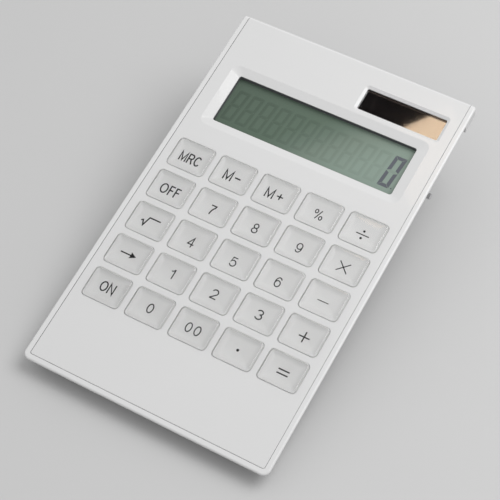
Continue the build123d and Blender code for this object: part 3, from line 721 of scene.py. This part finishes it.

# %% [markdown]
# ## Display
# A liquid-crystal panel looks grey green because light crosses two polarisers and comes back off
# a foil. Its tone grows lighter along a slant. That is painted light, a fixed colour at each
# place, where on a real panel such a shift moves with the light and the eye. The panel, the ghosts
# of segments that are off and the painted shadows of segments share one group that gives that
# colour.

# %% Panel tone
# half of the way that the tones cover along the slant, in metres
TONE_REACH = 0.045
# the panel's own grey green, made lighter along the slant as painted light
# place along the slant, then colour
PANEL_TONES_AND_PAINTED_LIGHT = [
    (0.00, (0.100, 0.140, 0.107)),
    (0.41, (0.114, 0.162, 0.123)),
    (0.52, (0.140, 0.192, 0.153)),
    (0.63, (0.190, 0.245, 0.202)),
    (0.82, (0.236, 0.306, 0.260)),
    (1.00, (0.250, 0.322, 0.278)),
]
panel_painted_light, take, give = group(
    "panel tone and painted light",
    [("Slant", FLOAT, 0.07), ("Left", FLOAT, 1.0), ("Right", FLOAT, 1.0)],
    [("Color", COLOUR)],
)
coords = panel_painted_light.nodes.new("ShaderNodeTexCoord")
split = panel_painted_light.nodes.new("ShaderNodeSeparateXYZ")
wire(panel_painted_light, coords.outputs["Object"], split.inputs[0])
slant = maths(panel_painted_light, "SUBTRACT", split.outputs["X"], split.outputs["Y"])
slant = maths(panel_painted_light, "ADD", slant, take.outputs["Slant"])
span = add(panel_painted_light, "ShaderNodeMapRange", From_Min=-TONE_REACH, From_Max=TONE_REACH)
wire(panel_painted_light, slant, span.inputs["Value"])
ramp = panel_painted_light.nodes.new("ShaderNodeValToRGB")
stops = ramp.color_ramp.elements
stops[0].position, stops[1].position = PANEL_TONES_AND_PAINTED_LIGHT[0][0], PANEL_TONES_AND_PAINTED_LIGHT[-1][0]
for stop, _ in PANEL_TONES_AND_PAINTED_LIGHT[1:-1]:
    stops.new(stop)
for stop, (_, tone) in zip(stops, PANEL_TONES_AND_PAINTED_LIGHT):
    stop.color = (*tone, 1)
fade = add(panel_painted_light, "ShaderNodeMapRange")
dark = panel_painted_light.nodes.new("ShaderNodeHueSaturation")
wire(panel_painted_light, span.outputs[0], ramp.inputs["Fac"])
wire(panel_painted_light, span.outputs[0], fade.inputs["Value"])
wire(panel_painted_light, take.outputs["Left"], fade.inputs["To Min"])
wire(panel_painted_light, take.outputs["Right"], fade.inputs["To Max"])
wire(panel_painted_light, ramp.outputs["Color"], dark.inputs["Color"])
wire(panel_painted_light, fade.outputs[0], dark.inputs["Value"])
wire(panel_painted_light, dark.outputs["Color"], give.inputs["Color"])
print(panel_painted_light.name, "has", len(stops), "colours")

# %% Finishes of the display
PANEL_LEVEL = -3.6
SLANT_MIDDLE = deck @ Vector((0, 70.0, PANEL_LEVEL))


def panel_finish(name, left, right):
    """A finish whose colour follows the panel's tone and painted light, times a factor at each end.
    """
    material = finish(name, PANEL_TONES_AND_PAINTED_LIGHT[0][1], 0.28, dull=0.05, grain=6000, depth=0.001)
    tree = material.node_tree
    colour = tree.nodes["Principled BSDF"].inputs["Base Color"]
    tree.nodes.remove(colour.links[0].from_node)
    tone = place_group(tree, panel_painted_light, Slant=SLANT_MIDDLE.y, Left=left, Right=right)
    wire(tree, tone.outputs["Color"], colour)
    return material


panel = panel_finish("display glass", 1.0, 1.0)
ghost = panel_finish("segments off", 0.80, 0.93)
shadow = panel_finish("segment shadows", 0.90, 0.97)
lit = finish("segments on", (0.112, 0.122, 0.143), 0.3, drift_by=0.1)
dress(panel, "lcd_front_glass", "lcd_rear_glass")
print("display:", ", ".join(each.name for each in (panel, ghost, shadow, lit)))

# %% [markdown]
# ## Digits by Geometry Nodes
# Twelve equal digits stand on one line at one pitch. That is a rule, so a node tree makes it: a row
# of points, one figure eight on each, then real geometry, because an export drops instances.

# %% One figure of seven bars
DIGIT_WIDTH, DIGIT_HEIGHT, BAR, BAR_GAP, SLANT = 5.4, 16.2, 1.65, 0.2, 5.2


def bar_outlines(bar):
    """The outlines of the seven bars of a figure, mitred where they meet."""
    u, v, gap = DIGIT_WIDTH / 2, DIGIT_HEIGHT / 2, BAR_GAP / 2
    inside = u - bar - gap
    shapes = {
        "middle": [
            (-u + bar / 2, 0), (-inside, bar / 2), (inside, bar / 2),
            (u - bar / 2, 0), (inside, -bar / 2), (-inside, -bar / 2),
        ]
    }
    for end, up in (("top", 1), ("bottom", -1)):
        inner = up * (v - bar)
        shapes[end] = [(-u + gap, up * v), (u - gap, up * v), (inside, inner), (-inside, inner)]
        for side, out in (("left", -1), ("right", 1)):
            shapes[side + " " + end] = [
                (out * u, up * (v - gap)), (out * (u - bar), inner - up * gap),
                (out * (u - bar), up * (bar / 2 + gap)), (out * u, up * gap),
            ]
    return shapes


def bars(mesh, shown, level, thick, bar=BAR):
    """The bars of one digit, leaning by the slant."""
    lean = math.tan(math.radians(SLANT))
    shapes = bar_outlines(bar)
    for name in shown:
        slab(mesh, [(u + v * lean, v) for u, v in shapes[name]], level, thick)
    bmesh.ops.recalc_face_normals(mesh, faces=mesh.faces)


ALL_BARS = tuple(bar_outlines(BAR))
NOUGHT = tuple(bar for bar in ALL_BARS if bar != "middle")
print("bars:", ", ".join(ALL_BARS))

# %% The row tree
row_tree = bpy.data.node_groups.new("row of copies", "GeometryNodeTree")
row_tree.is_modifier = True
for label, kind in (
    ("Geometry", "NodeSocketGeometry"),
    ("Count", "NodeSocketInt"),
    ("Pitch", "NodeSocketVector"),
    ("First", "NodeSocketVector"),
    ("Material", "NodeSocketMaterial"),
):
    row_tree.interface.new_socket(label, in_out="INPUT", socket_type=kind)
row_tree.interface.new_socket("Geometry", in_out="OUTPUT", socket_type="NodeSocketGeometry")
take, give = row_tree.nodes.new("NodeGroupInput"), row_tree.nodes.new("NodeGroupOutput")
line = row_tree.nodes.new("GeometryNodeMeshLine")
copies = row_tree.nodes.new("GeometryNodeInstanceOnPoints")
solid = row_tree.nodes.new("GeometryNodeRealizeInstances")
paint = row_tree.nodes.new("GeometryNodeSetMaterial")
wire(row_tree, take.outputs["Count"], line.inputs["Count"])
wire(row_tree, take.outputs["First"], line.inputs["Start Location"])
wire(row_tree, take.outputs["Pitch"], line.inputs["Offset"])
wire(row_tree, line.outputs["Mesh"], copies.inputs["Points"])
wire(row_tree, take.outputs["Geometry"], copies.inputs["Instance"])
wire(row_tree, copies.outputs["Instances"], solid.inputs["Geometry"])
wire(row_tree, solid.outputs["Geometry"], paint.inputs["Geometry"])
wire(row_tree, take.outputs["Material"], paint.inputs["Material"])
wire(row_tree, paint.outputs["Geometry"], give.inputs["Geometry"])
print(row_tree.name, "has", len(row_tree.nodes), "nodes")


# %% Running the row tree
def row_of(name, mesh, material, **inputs):
    """Run the row tree on a mesh and return the plain mesh that it makes."""
    data = bpy.data.meshes.new(name)
    mesh.to_mesh(data)
    mesh.free()
    data.materials.append(material)
    source = bpy.data.objects.new(name, data)
    bpy.context.scene.collection.objects.link(source)
    modifier = source.modifiers.new("row", "NODES")
    modifier.node_group = row_tree
    inputs["Material"] = material
    for socket in row_tree.interface.items_tree:
        if socket.item_type == "SOCKET" and socket.in_out == "INPUT" and socket.name in inputs:
            modifier[socket.identifier] = inputs[socket.name]
    evaluated = source.evaluated_get(bpy.context.evaluated_depsgraph_get())
    realized = bpy.data.meshes.new_from_object(evaluated)
    made = bmesh.new()
    made.from_mesh(realized)
    bpy.data.objects.remove(source)
    for spent in (data, realized):
        bpy.data.meshes.remove(spent)
    return made


inlets = [item.name for item in row_tree.interface.items_tree if item.in_out == "INPUT"]
print("a row takes:", ", ".join(inlets))

# %% The twelve digits
DIGIT_PITCH, FIRST_DIGIT, DIGIT_COUNT, DIGIT_V = 7.0, -38.75, 12, 68.0
# digit_shadows are darker slabs offset from the ghosts: a painted shadow of each segment
NO_SHIFT, SHADOW_SHIFT = (0.0, 0.0), (0.45, 0.5)
GHOST_BAR, GHOST_THICK, SHADOW_THICK = 1.25, 0.01, 0.005
ON_DECK = Matrix.Identity(4)
for name, material, thick, (shift_u, shift_v) in (
    ("digits_off", ghost, GHOST_THICK, NO_SHIFT),
    ("digit_shadows", shadow, SHADOW_THICK, SHADOW_SHIFT),
):
    eight = bmesh.new()
    bars(eight, ALL_BARS, 0, thick, GHOST_BAR)
    first = (FIRST_DIGIT + shift_u, DIGIT_V + shift_v, PANEL_LEVEL)
    digits = row_of(
        name, eight, material, Count=DIGIT_COUNT, Pitch=(DIGIT_PITCH, 0.0, 0.0), First=first
    )
    piece(name, digits, ON_DECK, "case", material, "display_glass")
print("display:", DIGIT_COUNT, "digits")

# %% The nought and its point
LIT_LEVEL, LIT_THICK = 0.01, 0.01
POINT_U, POINT_V, POINT_RADIUS, POINT_POINTS = 3.1, -7.6, 0.35, 12
nought = bmesh.new()
bars(nought, NOUGHT, LIT_LEVEL, LIT_THICK)
slab(nought, dot(POINT_U, POINT_V, POINT_RADIUS, POINT_POINTS), LIT_LEVEL, LIT_THICK)
last_place = (FIRST_DIGIT + DIGIT_PITCH * (DIGIT_COUNT - 1), DIGIT_V, PANEL_LEVEL)
piece("digit_on", nought, Matrix.Translation(last_place), "case", lit, "display_glass")
print("the last digit is on")

# %% [markdown]
# ## Screws
# The solids give each screw as a plain head and shank. A cross recess is what makes it read as a
# screw from below, so the screws are made again at the same places: one skin from the floor of the
# recess, round the head, up the shank to the tip. The row tree lays the two at the front, then the
# two at the rear.

# %% Rings of a screw
SCREW_POINTS = 32
SINE_LEAST = 0.01


def cross_ring(arm, half_slot, level):
    """A four-armed cross as a ring of points, at even turns about its middle."""
    points = []
    for step in range(SCREW_POINTS):
        turn = 2 * math.pi * step / SCREW_POINTS
        off = abs((turn + math.pi / 4) % (math.pi / 2) - math.pi / 4)
        reach_out = min(arm / math.cos(off), half_slot / max(math.sin(off), SINE_LEAST))
        points.append((reach_out * math.cos(turn), reach_out * math.sin(turn), level))
    return points


def round_ring(radius, level):
    """A circle of points."""
    turns = [2 * math.pi * step / SCREW_POINTS for step in range(SCREW_POINTS)]
    return [(radius * math.cos(t), radius * math.sin(t), level) for t in turns]


print("a cross has", len(cross_ring(1, 0.3, 0)), "points")

# %% Screws with a cross recess
# shares of the head's radius, of the head's height, and of the recess at its floor
EDGE, ARM, SLOT = 0.12, 0.62, 0.16
RECESS_DEPTH = 0.7
FLOOR_ARM, FLOOR_SLOT = 0.6, 0.8
# share of the shank's radius, and how near to the tip a point counts as part of it
TIP, TIP_REACH = 0.3, 0.01


def screws(name, node):
    """Copies of a node's four screws, measured from the node."""
    spots = [deck.inverted() @ vertex.co for vertex in nodes[node].data.vertices]
    low, tip = min(p.z for p in spots), max(p.z for p in spots)
    ends = [p for p in spots if p.z > tip - TIP_REACH]
    out_most, in_most = max(p.x for p in ends), min(p.x for p in ends if p.x > 0)
    place_u, shank = (out_most + in_most) / 2, (out_most - in_most) / 2
    front, rear = min(p.y for p in ends) + shank, max(p.y for p in ends) - shank
    head = max(p.x for p in spots) - place_u
    seat = max(p.z for p in spots if p.x > place_u + (head + shank) / 2)
    edge, arm, slot = head * EDGE, head * ARM, head * SLOT
    rings = [
        cross_ring(arm * FLOOR_ARM, slot * FLOOR_SLOT, low + (seat - low) * RECESS_DEPTH),
        cross_ring(arm, slot, low),
        round_ring(head - edge, low),
        round_ring(head, low + edge),
        round_ring(head, seat),
        round_ring(shank, seat),
        round_ring(shank, tip - shank),
        round_ring(shank * TIP, tip),
    ]
    all_four = bmesh.new()
    for v in (front, rear):
        screw = skin_of(rings, sharp=range(len(rings)))
        pair = row_of(
            name, screw, zinc, Count=2, Pitch=(2 * place_u, 0.0, 0.0), First=(-place_u, v, 0.0)
        )
        data = bpy.data.meshes.new(name)
        pair.to_mesh(data)
        pair.free()
        all_four.from_mesh(data)
        bpy.data.meshes.remove(data)
    piece(name, all_four, ON_DECK, "case", zinc, "screw_steel", node)
    print(name, "head", round(head, 2), "mm, shank", round(shank, 2), "mm")


screws("cross_screws", "case_screws")
screws("small_cross_screws", "board_screws")

# %% [markdown]
# ## Solar cell
# A thin-film cell is nearly black with a brown cast and is cut into strips by fine lines. It could
# be a plain dark colour, but silicon bends light strongly, so it also mirrors the room: a high
# index of refraction gives that mirror.

# %% Cell
CELL_INDEX = 3.4
STRIP, SCRIBE, SCRIBE_TONE = 8.0, 0.18, 6.0
cell = finish(
    "cell glass", (0.003, 0.002, 0.002), 0.035,
    dull=0.03, drift_by=0.3, drift_scale=60, depth=0.0003, IOR=CELL_INDEX,
)
tree = cell.node_tree
coords = tree.nodes.new("ShaderNodeTexCoord")
split = tree.nodes.new("ShaderNodeSeparateXYZ")
wire(tree, coords.outputs["Object"], split.inputs[0])
fold = maths(tree, "PINGPONG", split.outputs["X"], STRIP * MM / 2)
line = add(
    tree, "ShaderNodeMapRange",
    From_Min=SCRIBE * MM / 2, From_Max=SCRIBE * MM, To_Min=SCRIBE_TONE, To_Max=1.0,
)
wire(tree, fold, line.inputs["Value"])
brightened(cell, line.outputs[0])
dress(cell, "solar_cell")
print("cell strips are", STRIP, "mm wide")

# %% [markdown]
# ### Solar lens
# The window over the cell is a clear acrylic plate. It is made again with a hair of air beneath,
# because two faces in one plane flicker, and a dark brown band runs under its rear edge.

# %% Finishes of the lens
lens = finish(
    "clear lens", (0.96, 0.96, 0.96), 0.015,
    dull=0.02, drift_by=0.0, depth=0.0002, Transmission_Weight=1.0, IOR=ACRYLIC_INDEX,
)
lamp_light_through(lens)
rear_band_finish = finish("dark rear band", (0.05, 0.032, 0.024), 0.5, drift_by=0.2)
print(lens.name, "and", rear_band_finish.name)


# %% Lens and mask
def half(node, way):
    """Half of a node's extent along one direction, in millimetres."""
    low, high = reach(node, way)
    return (high - low) / 2


LENS_GAP, LENS_EDGE, LENS_CORNER, LENS_ARC = 0.03, 0.08, 0.3, 2
LENS_FLANGE, MASK_BAND = 1.2, 0.9
MASK_LIFT, MASK_THICK = 0.008, 0.01
ways = (across, rearward, upright)
half_u, half_v, half_up = (half("solar_window", way) for way in ways)
place = Matrix.Translation([offset("solar_window", way) for way in ways])
rings = [
    rounded_ring(half_u - inset, half_v - inset, LENS_CORNER, level, LENS_ARC)
    for inset, level in (
        (0, LENS_GAP - half_up), (0, half_up - LENS_EDGE), (LENS_EDGE, half_up),
    )
]
mask = bmesh.new()
front = half_v - LENS_FLANGE - MASK_BAND
band = [(-half_u, front), (half_u, front), (half_u, half_v), (-half_u, half_v)]
slab(mask, band, MASK_LIFT - half_up, MASK_THICK)
piece("solar_mask", mask, place, "case", rear_band_finish, "cell_glass")
lens_skin = skin_of(rings, sharp=range(len(rings)))
piece("solar_lens", lens_skin, place, "case", lens, "clear_lens", "solar_window")
print("lens", round(2 * half_u, 1), "by", round(2 * half_v, 1), "mm")

# %% [markdown]
# ## Stage
# A plain pale floor and soft light. The world gives an even fill that is dim overhead in
# reflections, so that glossy black stays black. One broad lamp stands high on the right, a little
# to the rear. A small warm card is hidden from the camera and from matt surfaces, and is there for
# the cell to mirror. The level is such that a colour renders about as it is written, and the floor
# throws less light upwards than it shows.

# %% Floor
FLOOR_HALF, FLOOR_DROP = 3, 0.0002
FLOOR_BOUNCE = 0.3
floor_mesh = bmesh.new()
bmesh.ops.create_grid(floor_mesh, x_segments=2, y_segments=2, size=FLOOR_HALF)
floor_data = bpy.data.meshes.new("floor")
floor_mesh.to_mesh(floor_data)
floor_mesh.free()
floor = bpy.data.objects.new("floor", floor_data)
bpy.context.scene.collection.objects.link(floor)
paper = finish("floor paper", (0.56, 0.56, 0.56), 0.8, drift_by=0.01, depth=0.01)
tree = paper.node_tree
path = tree.nodes.new("ShaderNodeLightPath")
level = add(tree, "ShaderNodeMapRange", To_Min=1.0, To_Max=FLOOR_BOUNCE)
wire(tree, path.outputs["Is Diffuse Ray"], level.inputs["Value"])
brightened(paper, level.outputs[0])
floor_data.materials.append(paper)
floor.location.z = -FLOOR_DROP
print(floor.name, "is", 2 * FLOOR_HALF, "m wide")

# %% World
# strength all round and overhead, and the heights between which a reflection dims
FILL, CEILING = 0.69, 0.012
DIM_FROM, DIM_TO = 0.45, 0.8
world = bpy.data.worlds.new("soft room")
bpy.context.scene.world = world
world.use_nodes = True
room = world.node_tree
background = room.nodes["Background"]
background.inputs["Color"].default_value = (1, 1, 1, 1)
coords = room.nodes.new("ShaderNodeTexCoord")
split = room.nodes.new("ShaderNodeSeparateXYZ")
wire(room, coords.outputs["Generated"], split.inputs[0])
height = add(
    room, "ShaderNodeMapRange", From_Min=DIM_FROM, From_Max=DIM_TO, To_Min=FILL, To_Max=CEILING
)
wire(room, split.outputs["Z"], height.inputs["Value"])
path = room.nodes.new("ShaderNodeLightPath")
level = add(room, "ShaderNodeMapRange", To_Min=FILL)
wire(room, path.outputs["Is Glossy Ray"], level.inputs["Value"])
wire(room, height.outputs[0], level.inputs["To Max"])
wire(room, level.outputs[0], background.inputs["Strength"])
print(world.name, "fills with", FILL)


# %% Lamps
def soft_lamp(name, target, azimuth, elevation, distance, size, power, roll=0):
    """A square area lamp aimed at a place; angles in degrees, lengths in metres, power in watts."""
    lamp = bpy.data.objects.new(name, bpy.data.lights.new(name, "AREA"))
    lamp.data.size = size
    lamp.data.energy = power
    way = direction(azimuth, elevation)
    lamp.location = target + way * distance
    lamp.rotation_euler = facing(way, roll)
    bpy.context.scene.collection.objects.link(lamp)
    return lamp


soft_lamp("window lamp", aim, azimuth=130, elevation=58, distance=0.85, size=0.6, power=4.0)
# the card stands on the line of sight that the cell mirrors
CARD_TARGET = deck @ Vector((37.2, 93.2, -1.6))
CARD_TONE, CARD_SPREAD = (1.0, 0.75, 0.52), 40
card = soft_lamp(
    "warm card", CARD_TARGET,
    azimuth=217.26, elevation=70.76, distance=0.5508, size=0.06, power=0.00124, roll=11.35,
)
card.data.color = CARD_TONE
card.data.spread = math.radians(CARD_SPREAD)
card.visible_diffuse = False
card.visible_camera = False
